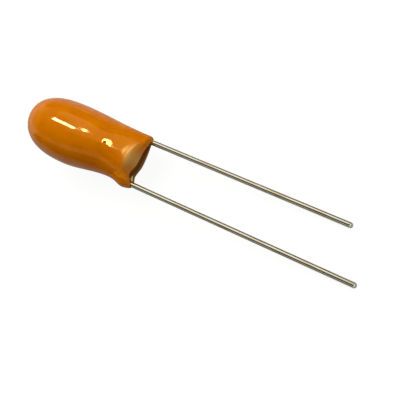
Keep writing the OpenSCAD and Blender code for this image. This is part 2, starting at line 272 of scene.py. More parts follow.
def ranged(tree, value, start, end, span=(0, 1), kind="LINEAR"):
    """Adds a Map Range node to a tree, which goes from start to end while value goes over the span."""
    new = node_in(tree, "ShaderNodeMapRange", [(value, "Value")], interpolation_type=kind)
    for name, default in (("From Min", span[0]), ("From Max", span[1]), ("To Min", start), ("To Max", end)):
        new.inputs[name].default_value = default
    return new.outputs[0]


def blend(tree, factor, a, b):
    """Adds a colour Mix node to a tree, on sockets or colours."""
    new = node_in(tree, "ShaderNodeMix", [(factor, "Factor")], data_type="RGBA")
    set_or_link(tree, new.inputs["A"], a)
    set_or_link(tree, new.inputs["B"], b)
    return new.outputs["Result"]


def grain(tree, place, per_mm, detail):
    """Adds a noise to a tree, with so many grains to a millimetre."""
    new = node_in(tree, "ShaderNodeTexNoise", [(place, "Vector")], Scale=per_mm / MM, Detail=detail)
    return new.outputs["Fac"]


def bumped(tree, shader, pattern, strength, deep_mm):
    """Bumps a shader's surface by a pattern."""
    bump = node_in(tree, "ShaderNodeBump", [(pattern, "Height")],
                   Strength=strength, Distance=deep_mm * MM)
    tree.links.new(bump.outputs[0], shader.inputs["Normal"])


def new_group(name, numbers, directions=()):
    """A Geometry Nodes group that takes geometry, numbers, vectors and a material, and its inputs."""
    tree = bpy.data.node_groups.new(name, "GeometryNodeTree")
    tree.is_modifier = True
    face = tree.interface
    face.new_socket("Geometry", in_out="INPUT", socket_type="NodeSocketGeometry")
    for key in numbers:
        face.new_socket(key, in_out="INPUT", socket_type="NodeSocketFloat")
    for key in directions:
        face.new_socket(key, in_out="INPUT", socket_type="NodeSocketVector")
    face.new_socket("Material", in_out="INPUT", socket_type="NodeSocketMaterial")
    face.new_socket("Geometry", in_out="OUTPUT", socket_type="NodeSocketGeometry")
    return tree, node_in(tree, "NodeGroupInput").outputs


def end_group(tree, made, finish):
    """Ends a group with its geometry made real, in its material."""
    real = node_in(tree, "GeometryNodeRealizeInstances", [(made, "Geometry")])
    painted = node_in(tree, "GeometryNodeSetMaterial", [
        (real.outputs[0], "Geometry"), (finish, "Material")])
    node_in(tree, "NodeGroupOutput", [(painted.outputs[0], "Geometry")])


# Placing

def frame_of_leads():
    """Where the drawing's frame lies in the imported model, from the two pin mounts."""
    pins = {m["name"]: m for m in frame["record"]["mounts"]}
    plus, minus = pins["positive_lead_pin"], pins["negative_lead_pin"]
    lead = sizes("capacitor_leads")
    down = Vector(plus["axis"]).normalized()
    at_plus, at_minus = Vector(plus["pos_m"]), Vector(minus["pos_m"])
    across = at_plus - at_minus
    across = (across - across.dot(down) * down).normalized()
    front = (-down).cross(across)
    end = at_plus + down * plus["dims"]["length_mm"] * MM / 2
    origin = end - down * lead.positive_length - across * lead.pitch / 2
    return Matrix.Translation(origin) @ Matrix((across, front, -down)).transposed().to_4x4()


def placed(name, data):
    """A new object in the scene."""
    made = bpy.data.objects.new(name, data)
    bpy.context.scene.collection.objects.link(made)
    return made


def new_mesh(name, points, faces):
    """A smooth-shaded object with its place in its mesh."""
    mesh = bpy.data.meshes.new(name)
    mesh.from_pydata([tuple(p) for p in points], [], faces)
    mesh.transform(frame_of_leads())
    mesh.shade_smooth()
    mesh.update()
    return placed(name, mesh)


def evaluate(piece, tree, inputs):
    """Runs a Geometry Nodes tree on a piece and keeps the result as its plain mesh."""
    modifier = piece.modifiers.new(tree.name, "NODES")
    modifier.node_group = tree
    for item in tree.interface.items_tree:
        if item.item_type == "SOCKET" and item.in_out == "INPUT" and item.name in inputs:
            modifier[item.identifier] = inputs[item.name]
    graph = bpy.context.evaluated_depsgraph_get()
    result = bpy.data.meshes.new_from_object(piece.evaluated_get(graph), depsgraph=graph)
    piece.modifiers.remove(modifier)
    result.name = piece.name
    if piece.type == "MESH":
        piece.data = result
        return piece
    made = placed(piece.name + "_made", result)
    name = piece.name
    bpy.data.objects.remove(piece)
    made.name = name
    return made


# The resin bead

# Points in each ring of the coat, and rings in each part of it
RING_POINTS = 288
MOUTH_RINGS, LIP_RINGS, BODY_RINGS, DOME_RINGS = 18, 40, 100, 80
# How many of the lip's rings take the mouth's painted shade at the back, and how strongly
PAINTED_SHADE_RINGS = 12
PAINTED_SHADE_AT_BACK = 0.8
# Above 1, the dome's rings crowd towards the tip
DOME_CROWDING = 1.15
# The lip rises by this share more at the front, and less at the back
RISE_AT_FRONT = 0.25
# How far the resin clings to a lead, as a share of the sleeve's thickness, and how fast it thins out
CLING_REACH, CLING_POWER = 0.62, 1.3


def mix(a, b, t):
    """The value between a and b at t."""
    return a + (b - a) * t


def smooth(t):
    """Goes from 0 to 1 with t, and starts and ends level."""
    u = np.clip(t, 0, 1)
    return u * u * (3 - 2 * u)


def power(v, p):
    """The power of v, with v's sign."""
    return np.sign(v) * np.abs(v) ** p


class Coat:
    """The coat's outline, from the mouth between the leads to the tip."""

    def __init__(self, bead, lead, ring_points):
        self.b = bead
        self.positive_x = lead.pitch / 2
        self.lead_r = lead.diameter / 2
        self.angles = np.linspace(0, 2 * math.pi, ring_points, endpoint=False)
        across = power(np.cos(self.angles), 2 / bead.lip_power)
        x = across * (bead.side_positive + bead.side_negative) / 2
        # 1 where the coat spans the gap between the leads, and 0 where it clings to a lead
        from_crest = x - bead.web_crest
        reach = np.where(from_crest > 0, bead.web_positive, bead.web_negative)
        self.web = np.clip(1 - (from_crest / reach) ** 2, 0, 1)
        self.round_h = mix(bead.lead_round_h, bead.lip_round_h, self.web)
        self.lip_front = bead.lip_t / 2 + mix(bead.lead_round_front, bead.lip_round_front, self.web)

    def to_positive(self, z):
        """Half-width towards the positive lead, which narrows at the waist."""
        b = self.b
        rise = smooth((z - b.waist_z) / (b.widest_z - b.waist_z))
        shoulder = 1 - smooth((z - b.shoulder_z) / (b.waist_z - b.shoulder_z))
        return mix(b.side_waist, b.widest_positive, rise) + (b.side_positive - b.side_waist) * shoulder

    def to_negative(self, z):
        """Half-width towards the negative lead."""
        b = self.b
        rise = smooth((z - b.shoulder_z) / (b.widest_z - b.shoulder_z))
        return mix(b.side_negative, b.widest_negative, rise)

    def to_front(self, z):
        """Half-thickness between the lip and the widest place."""
        b = self.b
        left = 1 - z / b.widest_z
        return mix(self.lip_front, b.widest_front, 1 - left * left * (1 + b.flank * (1 - left)))

    def section_power(self, z):
        """Squareness of the section, which ends as an ellipse."""
        return mix(self.b.lip_power, 2, smooth(z / self.b.pellet_z))

    def lip_height(self, x, front):
        """How far the lip rises beside the positive lead and runs down the negative one."""
        b = self.b
        from_hollow = x - (self.positive_x - b.lip_hollow_at)
        width = np.where(from_hollow < 0, b.hollow_inner, b.hollow_outer)
        hollow = b.lip_hollow * (1 + RISE_AT_FRONT * front) * np.exp(-(from_hollow / width) ** 2)
        run = b.lip_run * (1 + front) / 2 * np.exp(-((x + self.positive_x) / b.run_width) ** 2)
        return hollow - run

    def meniscus(self, x, y):
        """How far surface tension draws the coat down each lead."""
        b = self.b
        drawn = 0
        for side, down in ((1, b.sleeve_positive), (-1, b.sleeve_negative)):
            gap = np.hypot(x - side * self.positive_x, y) - self.lead_r
            drawn = drawn + down * np.exp(-(np.maximum(gap, 0) / (CLING_REACH * b.sleeve_t)) ** CLING_POWER)
        return drawn

    def nub(self, x, y, z):
        """How far the coat bulges round the positive lead, across and to the front or back."""
        b = self.b
        outside = np.maximum(x - b.nub_x, 0)
        beside = np.exp(-(np.minimum(x - b.nub_x, 0) / b.nub_width) ** 2)
        grown = b.nub * beside * np.exp(-((z - b.nub_z) / b.nub_length) ** 2)
        # The small term keeps points on the lead's own side from dividing by zero
        away = np.hypot(outside, y) + 1e-9
        return grown * outside / away, grown * y / away

    def swell(self, x, z, up):
        """The low swell that the bubble raised in the front before it burst."""
        b = self.b
        run = z - b.swell_z
        long = np.where(run < 0, b.swell_down, b.swell_up)
        return b.swell * smooth(up) * np.exp(-(run / long) ** 2 - ((x - b.swell_x) / b.swell_width) ** 2)

    def ring(self, z, neg, pos, front, fullness, middle=0, sink=0, opening=1):
        """The points of one ring. sink lifts it into the mouth, and opening is its share of the width."""
        across = power(np.cos(self.angles), 2 / fullness)
        up = power(np.sin(self.angles), 2 / fullness)
        x = middle + (pos - neg) / 2 + across * (pos + neg) / 2
        y = up * (front + self.swell(x, z, up))
        fade = 1 - smooth(z / self.b.lip_fade)
        lift = self.lip_height(x, up) * fade
        near_lip = 1 - smooth(z / self.b.sleeve_h)
        drawn = self.meniscus(x, y) * near_lip
        aside, ahead = self.nub(x, y, z)
        return np.stack([x + opening * aside, y + opening * ahead, z + lift + sink - drawn], 1)

    def mouth_ring(self, t):
        """A ring of the mouth, from its edge at t = 0 to its bottom at 1."""
        b = self.b
        opening = mix(1, b.mouth_slit, t)
        side = b.lip_round_side + b.lip_t / 2 * (1 - opening)
        depth = b.mouth_depth * (1 - opening ** b.mouth_bowl)
        return self.ring(0, b.side_negative - side, b.side_positive - side, b.lip_t / 2 * opening,
                         b.lip_power, 0, depth, opening)

    def lip_ring(self, t):
        """A ring of the rounded lip, from the body at t = 0 to the mouth's edge at 1."""
        b = self.b
        a = math.pi / 2 * t
        round_over = 1 - math.cos(a)
        z = self.round_h * (1 - math.sin(a))
        front = mix(self.to_front(self.round_h), b.lip_t / 2, round_over)
        return self.ring(z, self.to_negative(z) - b.lip_round_side * round_over ** 2,
                         self.to_positive(z) - b.lip_round_side * round_over, front, self.section_power(z))

    def body_ring(self, t):
        """A ring between the lip at t = 0 and the widest place at 1."""
        z = mix(self.round_h, self.b.widest_z, t)
        return self.ring(z, self.to_negative(z), self.to_positive(z), self.to_front(z), self.section_power(z))

    def dome_ring(self, t):
        """A ring of the domed end, from the widest place at t = 0 to the tip at 1."""
        b = self.b
        a = math.pi / 2 * t
        rise = math.sin(a) ** (2 / b.dome_power)
        shrink = math.cos(a) ** (2 / b.dome_power)
        return self.ring(mix(b.widest_z, b.tip_z, rise), b.widest_negative * shrink,
                         b.widest_positive * shrink, b.widest_front * shrink, 2, -b.tip_lean * rise * rise)


def pinhole(points, bead):
    """Sinks the pinhole of a burst bubble into the front, after drawing the mesh's points in round it."""
    reach = bead.pinhole_reach
    away = points[:, [0, 2]] - np.array([bead.pinhole_x, bead.pinhole_z])
    far = np.hypot(away[:, 0], away[:, 1])
    near = (points[:, 1] > 0) & (far < reach)
    away, far = away[near], far[near]

    def terms(place):
        """The powers of x and z up to the fourth, which follow the front closely round the pinhole."""
        x, z = place[:, 0] / reach, place[:, 1] / reach
        return np.stack([x ** i * z ** j for i in range(5) for j in range(5 - i)], axis=1)

    # The points slide along the front, so they keep to its shape as fitted here
    front = np.linalg.lstsq(terms(away), points[near, 1], rcond=None)[0]
    drawn = mix(bead.pinhole_draw, 1, smooth(far / reach))
    slid = away * drawn[:, None]
    height = points[near, 1] + (terms(slid) - terms(away)) @ front
    sunk = bead.pinhole_depth * np.exp(-(far * drawn / bead.pinhole_r) ** 4)
    points = points.copy()
    points[near] = np.stack([slid[:, 0] + bead.pinhole_x, height - sunk, slid[:, 1] + bead.pinhole_z], axis=1)
    return points


def bead_mesh(bead, lead):
    """Points and faces of the smooth coat, and how far each point takes the mouth's painted shade and the
    lip's painted glow.
    """
    around = RING_POINTS
    coat = Coat(bead, lead, around)
    rings = [coat.mouth_ring(t) for t in np.linspace(1, 0, MOUTH_RINGS, endpoint=False)]
    rings += [coat.lip_ring(t) for t in np.linspace(1, 0, LIP_RINGS, endpoint=False)]
    rings += [coat.body_ring(t) for t in np.linspace(0, 1, BODY_RINGS, endpoint=False)]
    dome = 1 - (1 - np.linspace(0, 1, DOME_RINGS, endpoint=False)) ** DOME_CROWDING
    rings += [coat.dome_ring(t) for t in dome]
    tip = [(bead.widest_positive - bead.widest_negative) / 2 - bead.tip_lean, 0, bead.tip_z]
    points = pinhole(np.concatenate(rings + [np.array([tip])]), bead)
    # Painted shade: the mouth's rings are darkened fully, standing in for the shade in that recess
    painted_shade = np.zeros(len(points))
    painted_shade[:(MOUTH_RINGS - 1) * around] = 1
    # The lip's far side is nearly as thin, and gets nearly as much painted shade as the mouth
    low_rings = np.arange(len(points)) < (MOUTH_RINGS + PAINTED_SHADE_RINGS) * around
    painted_shade[low_rings & (points[:, 1] < 0)] = PAINTED_SHADE_AT_BACK
    # Painted light: a tan glow between the leads, low down on the lip, stands in for light shining through
    # the thin coat
    between_leads = np.clip(1 - (points[:, 0] / (lead.pitch / 2)) ** 2, 0, 1)
    tan = between_leads * (1 - smooth((points[:, 2] - bead.painted_glow_z) / bead.painted_glow_fade))
    count = len(rings)
    faces = []
    for r in range(count - 1):
        for i in range(around):
            j = (i + 1) % around
            low, high = r * around, (r + 1) * around
            faces.append((low + i, low + j, high + j, high + i))
    last = (count - 1) * around
    faces += [(last + i, last + (i + 1) % around, count * around) for i in range(around)]
    # The mouth's slit closes between mirrored points, as a zip does
    faces.append((0, around - 1, 1))
    faces += [(i, around - i, around - i - 1, i + 1) for i in range(1, around // 2 - 1)]
    faces.append((around // 2 - 1, around // 2 + 1, around // 2))
    return points, faces, painted_shade, tan


def dip_tree():
    """Geometry Nodes: the slow unevenness that a dipped coat cures with, always inwards."""
    tree, start = new_group("Dip sag", ("Depth", "Width", "Seed"))
    place = node_in(tree, "GeometryNodeInputPosition").outputs[0]
    scale = maths(tree, "DIVIDE", 1, start["Width"])
    noise = node_in(tree, "ShaderNodeTexNoise", [
        (place, "Vector"), (start["Seed"], "W"), (scale, "Scale")],
        noise_dimensions="4D", Detail=1.0, Roughness=0.4)
    inward = maths(tree, "MULTIPLY", noise.outputs["Fac"], start["Depth"])
    outward = maths(tree, "MULTIPLY", inward, -1)
    normal = node_in(tree, "GeometryNodeInputNormal").outputs[0]
    offset = vectors(tree, "SCALE", normal, scale=outward)
    moved = node_in(tree, "GeometryNodeSetPosition", [
        (start["Geometry"], "Geometry"), (offset, "Offset")])
    end_group(tree, moved.outputs[0], start["Material"])
    return tree


# The leads

# Distances from the cut at which a lead's path has its first points, and where its even run starts, in mm
CUT_POINTS_MM = (0, 0.02, 0.05, 0.09, 0.14, 0.2, 0.3, 0.45)
EVEN_FROM_MM = 0.8
# Points of that even run, steps of a bend, and points round the wire
EVEN_POINTS, BEND_STEPS, WIRE_POINTS = 90, 14, 40
# How sharply the shears draw the edge in
CUT_POWER = 3.0
# Waves in the tin to a millimetre, and the share of their run that is taken off along the wire
WAVES_PER_MM, WAVE_STRETCH = 2.2, 0.82


def arc(centre, radius, start, turn):
    """Points along an arc in the plane of the leads, in degrees from +x towards +z."""
    angles = [math.radians(start + turn * i / BEND_STEPS) for i in range(BEND_STEPS + 1)]
    return [(centre[0] + radius * math.cos(a), 0, centre[1] + radius * math.sin(a)) for a in angles]


def lead_path(lead, bead, side):
    """The centre line of a lead, from its free end to its inner end. side is 1 for the positive one."""
    r = lead.bend_radius
    x_out = side * lead.pitch / 2
    if side > 0:
        x_in, angle, long = lead.weld_x, lead.bend_angle, lead.positive_length
        z_bend = lead.bend_cover - bead.sleeve_positive
    else:
        x_in, angle, long = x_out + lead.step, lead.step_angle, lead.negative_length
        z_bend = lead.bend_cover - bead.sleeve_negative
    turn = math.radians(angle)
    inset = r * (1 - math.cos(turn))
    slope = abs(x_out - x_in) - 2 * inset
    z_in = z_bend + 2 * r * math.sin(turn) + slope / math.tan(turn)
    z_end = z_in + lead.weld_length if side > 0 else lead.tail_end
    path = [(x_out, 0, -long + t * MM) for t in CUT_POINTS_MM]
    path += [(x_out, 0, z) for z in np.linspace(-long + EVEN_FROM_MM * MM, z_bend, EVEN_POINTS)[:-1]]
    if side > 0:
        path += arc((x_out - r, z_bend), r, 0, angle)
        path += arc((x_in + r, z_in), r, 180 + angle, -angle)
    else:
        path += arc((x_out + r, z_bend), r, 180, -angle)
        path += arc((x_in - r, z_in), r, -angle, angle)
    path.append((x_in, 0, z_end))
    return path


def wire_tree(lead):
    """Geometry Nodes: a round wire swept along its path, uneven with tin, with its free end sheared off."""
    tree, start = new_group(
        "Tinned wire", ("Radius", "Rounding", "Unevenness", "Slant", "Seed"), ("Free end", "Along", "Up"))

    # The shears draw the wire's edge in over the last stretch before the cut
    run = node_in(tree, "GeometryNodeSplineParameter").outputs["Length"]
    away = ranged(tree, run, 0, 1, (0, lead.cut_run), "SMOOTHERSTEP")
    near = maths(tree, "POWER", maths(tree, "SUBTRACT", 1, away), CUT_POWER)
    drawn = maths(tree, "MULTIPLY", near, start["Rounding"])
    radius = maths(tree, "SUBTRACT", start["Radius"], drawn)
    shaped = node_in(tree, "GeometryNodeSetCurveRadius", [
        (start["Geometry"], "Curve"), (radius, "Radius")])
    circle = node_in(tree, "GeometryNodeCurvePrimitiveCircle",
                     Resolution=WIRE_POINTS, Radius=1.0)
    scale = node_in(tree, "GeometryNodeInputRadius").outputs[0]
    swept = node_in(tree, "GeometryNodeCurveToMesh", [
        (shaped.outputs[0], "Curve"), (circle.outputs[0], "Profile Curve"), (scale, "Scale")])
    swept.inputs["Fill Caps"].default_value = True

    # The cut slants back towards the front of the part, and fades out along the wire
    place = node_in(tree, "GeometryNodeInputPosition").outputs[0]
    out = vectors(tree, "SUBTRACT", place, start["Free end"])
    ahead = vectors(tree, "DOT_PRODUCT", out, start["Along"])
    back = maths(tree, "MULTIPLY", ahead, -1)
    fade = ranged(tree, back, 1, 0, (0, lead.cut_fade), "SMOOTHSTEP")
    high = vectors(tree, "DOT_PRODUCT", out, start["Up"])
    high = maths(tree, "ADD", high, start["Radius"])
    slant = maths(tree, "MULTIPLY", high, start["Slant"])
    slant = maths(tree, "MULTIPLY", slant, fade)
    backwards = maths(tree, "MULTIPLY", slant, -1)
    shift = vectors(tree, "SCALE", start["Along"], scale=backwards)

    # Tin freezes a little uneven, in long waves along the wire, and only ever inside its full size
    along = vectors(tree, "DOT_PRODUCT", place, start["Along"])
    taken = maths(tree, "MULTIPLY", along, -WAVE_STRETCH)
    squeezed = vectors(tree, "SCALE", start["Along"], scale=taken)
    flat = vectors(tree, "ADD", place, squeezed)
    noise = node_in(tree, "ShaderNodeTexNoise", [(flat, "Vector"), (start["Seed"], "W")],
                    noise_dimensions="4D", Scale=WAVES_PER_MM / MM, Detail=2.0)
    normal = node_in(tree, "GeometryNodeInputNormal").outputs[0]
    uneven = maths(tree, "MULTIPLY", noise.outputs["Fac"], start["Unevenness"])
    inwards = maths(tree, "MULTIPLY", uneven, -1)
    ripple = vectors(tree, "SCALE", normal, scale=inwards)
    offset = vectors(tree, "ADD", shift, ripple)
    moved = node_in(tree, "GeometryNodeSetPosition", [
        (swept.outputs[0], "Geometry"), (offset, "Offset")])
    soft = node_in(tree, "GeometryNodeSetShadeSmooth", [(moved.outputs[0], "Geometry")])
    end_group(tree, soft.outputs[0], start["Material"])
    return tree


# Materials

# Grains to a millimetre: the pigment's drift, the filler, the draw lines and the thin patches of tin
DRIFT_PER_MM, FILLER_PER_MM, LINES_PER_MM, PATCHES_PER_MM = 0.45, 12, 14, 5
# Spans of the noise over which the pigment turns to its deep tone, and the tin's patches turn to copper
DRIFT_SPAN, PATCH_SPAN = (0.35, 0.7), (0.6, 0.75)
# How closely the lip's painted glow keeps to the middle of the lip
PAINTED_GLOW_POWER = 5
# The draw lines' scale along the leads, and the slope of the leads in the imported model, in radians
LINE_SQUEEZE = 0.03
LEAD_SLOPE = -0.0915
# Tones of a sealed piece's grain, as shares of its colour
GRAIN_DARK, GRAIN_LIGHT = 0.8, 1.15


def material(name):
    """An empty material with its shader and the piece's own coordinates."""
    made = bpy.data.materials.new(name)
    made.use_nodes = True
    tree = made.node_tree
    tree.nodes.clear()
    shader = node_in(tree, "ShaderNodeBsdfPrincipled")
    node_in(tree, "ShaderNodeOutputMaterial", [(shader.outputs[0], "Surface")])
    place = node_in(tree, "ShaderNodeTexCoord").outputs["Object"]
    return made, tree, shader, place


def epoxy_dip():
    """Pigmented epoxy, dipped and oven-cured: a deep gloss with the faint sag of a liquid that set."""
    finish = sizes("capacitor_finish")
    made, tree, shader, place = material("Epoxy dip coat")
    # Pigment drifts a little while the liquid runs, over about 2 mm
    drift = grain(tree, place, DRIFT_PER_MM, 2)
    deep = blend(tree, ranged(tree, drift, 0, 1, DRIFT_SPAN), finish.resin, finish.resin_deep)
    # The coat cures thin and duller at the lip, and duller in the mouth between the leads. Its colour holds
    # painted light there: a tan glow at the thin lip stands in for light shining through it, and a dark tone
    # in the mouth stands in for the shade in that recess
    lip = node_in(tree, "ShaderNodeAttribute", attribute_name="lip").outputs["Fac"]
    mouth = node_in(tree, "ShaderNodeAttribute", attribute_name="mouth").outputs["Fac"]
    near_rim = maths(tree, "POWER", lip, PAINTED_GLOW_POWER)
    tan = blend(tree, near_rim, deep, finish.lip_painted_glow)
    tone = blend(tree, mouth, tan, finish.mouth_painted_shade)
    tree.links.new(tone, shader.inputs["Base Color"])
    # Fine grain of the filler, 0.08 mm, just breaks the gloss
    filler = grain(tree, place, FILLER_PER_MM, 2)
    rough = ranged(tree, filler, finish.resin_rough, finish.resin_rough_grain)
    dull = maths(tree, "MAXIMUM", lip, mouth)
    dull = maths(tree, "MULTIPLY", dull, finish.resin_dull)
    tree.links.new(maths(tree, "ADD", rough, dull), shader.inputs["Roughness"])
    bumped(tree, shader, filler, 0.05, 0.004)
    # Amber resin over its pigment gives its gloss a warm cast
    shader.inputs["IOR"].default_value = finish.resin_ior
    shader.inputs["Specular Tint"].default_value = finish.gloss
    return made


def tinned_copper():
    """Drawn copper wire, hot-dipped in tin: bright metal with faint draw lines and thin patches."""
    finish = sizes("capacitor_finish")
    made, tree, shader, place = material("Tinned copper wire")
    shader.inputs["Metallic"].default_value = 1.0
    # Draw lines run along the wire, so the pattern is squeezed that way. They are about 0.07 mm wide
    lines = node_in(tree, "ShaderNodeMapping", [(place, "Vector")],
                    Scale=(LINE_SQUEEZE, 1, 1), Rotation=(0, LEAD_SLOPE, 0)).outputs[0]
    drawn = grain(tree, lines, LINES_PER_MM, 3)
    rough = ranged(tree, drawn, finish.tin_rough, finish.tin_rough_lines)
    tree.links.new(rough, shader.inputs["Roughness"])
    bumped(tree, shader, drawn, 0.04, 0.01)
    # Copper shows faintly through thin tin, in patches about 0.2 mm wide and 7 mm long
    thin = grain(tree, lines, PATCHES_PER_MM, 0)
    patch = ranged(tree, thin, 0, finish.copper_share, PATCH_SPAN)
    tree.links.new(blend(tree, patch, finish.tin, finish.copper), shader.inputs["Base Color"])
    return made


def inner_material(name, hex_colour, metallic, roughness, grain_mm):
    """A plain material for a sealed piece, with a grain of the given width."""
    made, tree, shader, place = material(name)
    grains = grain(tree, place, 1 / grain_mm, 3)
    base = linear(hex_colour)[:3]
    dark = (*(c * GRAIN_DARK for c in base), 1)
    light = (*(min(c * GRAIN_LIGHT, 1) for c in base), 1)
    tree.links.new(blend(tree, grains, dark, light), shader.inputs["Base Color"])
    bumped(tree, shader, grains, 0.3, 0.2 * grain_mm)
    shader.inputs["Metallic"].default_value = metallic
    shader.inputs["Roughness"].default_value = roughness
    return made


# The stage

# Places in the model's frame that the lamps hang over
BEAD_MIDDLE = (-0.0136, 0.0007, 0.0065)
BEAD_NECK = (-0.0087, 0.0008, 0.005)
# Each lamp's place, direction from there, direction of its first side, and length of both sides
LAMPS = {
    "key": (BEAD_MIDDLE, (-0.5, 0.36, 0.79), (1, 0, 0), 0.3, 0.3),
    "strip": (BEAD_MIDDLE, (-0.462, 0.3, 0.835), (0.876, -0.03, 0.48), 0.134, 0.046),
    "spot": (BEAD_MIDDLE, (-0.255, 0.44, 0.86), (1, 0, 0), 0.012, 0.066),
    "window": (BEAD_NECK, (0.152, 0.385, 0.91), (1, 0, 0), 0.064, 0.16),
}
# The camera in the drawing's frame, from the leads and the bead's outline in the photograph
CAMERA_RIGHT = (-0.40823, -0.26160, -0.87459)
CAMERA_DOWN = (0.91278, -0.13128, -0.38679)
CAMERA_AWAY = (-0.01363, -0.95621, 0.29237)
CAMERA_AT_MM = (1.77403, 49.47250, -22.99851)
SENSOR_MM = 36
CARD_ROUGHNESS = 0.9
# Brightness of the white that the floor shows to the camera, so that with its own shade it comes to 1
GLOW_STRENGTH = 1.17
# Share of that white that metal and gloss show, close over the floor
FLOOR_IN_GLOSS = 0.15
# Where the dark ceiling ends over the tip, the leads and their free ends, from -1 before to 1 behind
CEILING_TIP, CEILING_LEADS, CEILING_ENDS = 0.5, -0.15, 0.1
# How much further back it ends for diffuse light, and the diffuse light's share of the wall before
DIFFUSE_BACK, DIFFUSE_BEFORE = 0.35, 0.35
# Shares of light that the walls behind and before keep beyond the tip, and that behind near the ceiling
BEHIND_AT_TIP, BEFORE_AT_TIP, BEHIND_AT_CEILING = 0.12, 0.3, 0.6


def matt_card(name, base, glow):
    """Matt card. What the camera, metal and gloss see of it is lifted by glow to white, and keeps shadows."""
    made, tree, shader, _ = material(name)
    shader.inputs["Base Color"].default_value = base
    shader.inputs["Roughness"].default_value = CARD_ROUGHNESS
    if glow:
        part = maths(tree, "MULTIPLY", seen_rays(tree, FLOOR_IN_GLOSS), glow)
        light = node_in(tree, "ShaderNodeEmission", Strength=GLOW_STRENGTH)
        both = node_in(tree, "ShaderNodeMixShader", [
            (part, "Fac"), (shader.outputs[0], 1), (light.outputs[0], 2)])
        tree.links.new(both.outputs[0], tree.nodes["Material Output"].inputs["Surface"])
    return made


def seen_rays(tree, in_gloss=1):
    """1 for rays from the camera, in_gloss for those that metal or gloss reflects or glass passes, else 0."""
    path = node_in(tree, "ShaderNodeLightPath").outputs
    gloss = maths(tree, "MAXIMUM", path["Is Glossy Ray"], path["Is Transmission Ray"])
    part = maths(tree, "MULTIPLY", gloss, in_gloss)
    return maths(tree, "MAXIMUM", path["Is Camera Ray"], part)


def stage_card(name, corners, finish):
    """A flat card of the stage."""
    mesh = bpy.data.meshes.new(name)
    mesh.from_pydata(corners, [], [(0, 1, 2, 3)])
    mesh.materials.append(finish)
    return placed(name, mesh)


def studio_sky(stage):
    """A room with walls behind and before the leads and beyond their ends, and a dark ceiling over them.

    Its parts fade into each other over spans of the direction's x, of its z, and of across, which goes
    from -1 before the leads to 1 behind them.
    """
    world = bpy.data.worlds.new("Studio")
    world.use_nodes = True
    tree = world.node_tree
    tree.nodes.clear()

    def step(value, span, start, end):
        return ranged(tree, value, start, end, span, kind="SMOOTHSTEP")

    def times(a, b):
        return maths(tree, "MULTIPLY", a, b)

    def plus(a, b):
        return maths(tree, "ADD", a, b)

    towards = node_in(tree, "ShaderNodeTexCoord").outputs["Generated"]
    x, y, z = node_in(tree, "ShaderNodeSeparateXYZ", [(towards, 0)]).outputs
    across = maths(tree, "DIVIDE", y, maths(tree, "SQRT", plus(times(y, y), times(z, z))))
    tip, seen = (-0.62, -0.45), (0, 1)
    # The ceiling's dark part runs along the leads, and reaches further back over the bead's tip
    dark = maths(tree, "MAXIMUM", step(x, (-0.45, -0.38), CEILING_TIP, CEILING_LEADS),
                 step(x, (0.1, 0.3), CEILING_LEADS, CEILING_ENDS))
    over = maths(tree, "SUBTRACT", across, dark)
    over = maths(tree, "SUBTRACT", over, step(seen_rays(tree), seen, DIFFUSE_BACK, 0))
    behind = times(
        times(step(over, (0, 0.3), 0, 1), step(across, (0.3, 0.95), BEHIND_AT_CEILING, 1)),
        times(step(x, (0, 0.25), stage.wall_behind, stage.wall_side), step(x, tip, BEHIND_AT_TIP, 1)))
    # The wall before the leads is bright in what metal and gloss reflect, and dim as diffuse light
    before = times(step(across, (-0.78, -0.66), stage.wall_before, 0), step(x, tip, BEFORE_AT_TIP, 1))
    before = times(before, step(seen_rays(tree), seen, DIFFUSE_BEFORE, 1))
    both_ends = plus(step(x, (0.4, 0.6), 0, stage.wall_ends), step(x, (-0.8, -0.65), stage.wall_tip, 0))
    ends = times(both_ends, step(z, (0.4, 0.6), 1, 0))
    above = step(x, (0.1, 0.35), stage.ceiling, stage.ceiling_ends)
    sky = plus(plus(behind, before), plus(ends, above))
    # The camera sees white everywhere, and metal and gloss see it low down
    low = times(step(z, (0.02, 0.4), 1, 0), seen_rays(tree))
    white = maths(tree, "MAXIMUM", low, node_in(tree, "ShaderNodeLightPath").outputs["Is Camera Ray"])
    strength = plus(times(sky, maths(tree, "SUBTRACT", 1, white)), white)
    light = node_in(tree, "ShaderNodeBackground")
    tree.links.new(blend(tree, white, stage.warm, (1, 1, 1, 1)), light.inputs["Color"])
    tree.links.new(strength, light.inputs["Strength"])
    node_in(tree, "ShaderNodeOutputWorld", [(light.outputs[0], "Surface")])
    return world


# Operators

def glinting_pieces():
    """The collection of the pieces that the small lamps shine on."""
    return bpy.data.collections.get("glinting_pieces") or bpy.data.collections.new("glinting_pieces")


class CAPACITOR_OT_bead(bpy.types.Operator):
    """Makes the dipped resin bead"""

    bl_idname = "capacitor.bead"
    bl_label = "Resin bead"

    def execute(self, context):
        bead, lead = sizes("capacitor_bead"), sizes("capacitor_leads")
        points, faces, painted_shade, tan = bead_mesh(bead, lead)
        piece = new_mesh("resin_bead", points, faces)
        # The mouth attribute carries the painted shade of the mouth, and the lip attribute the painted glow
        # of the thin lip
        for name, values in (("mouth", painted_shade), ("lip", tan)):
            piece.data.attributes.new(name, "FLOAT", "POINT").data.foreach_set("value", values)
        coat = epoxy_dip()
        piece = evaluate(piece, dip_tree(), {
            "Depth": bead.sag, "Width": bead.sag_size, "Seed": 4.0, "Material": coat})
        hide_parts("resin_coating")
        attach(piece, "root")
        glinting_pieces().objects.link(piece)
        return {"FINISHED"}


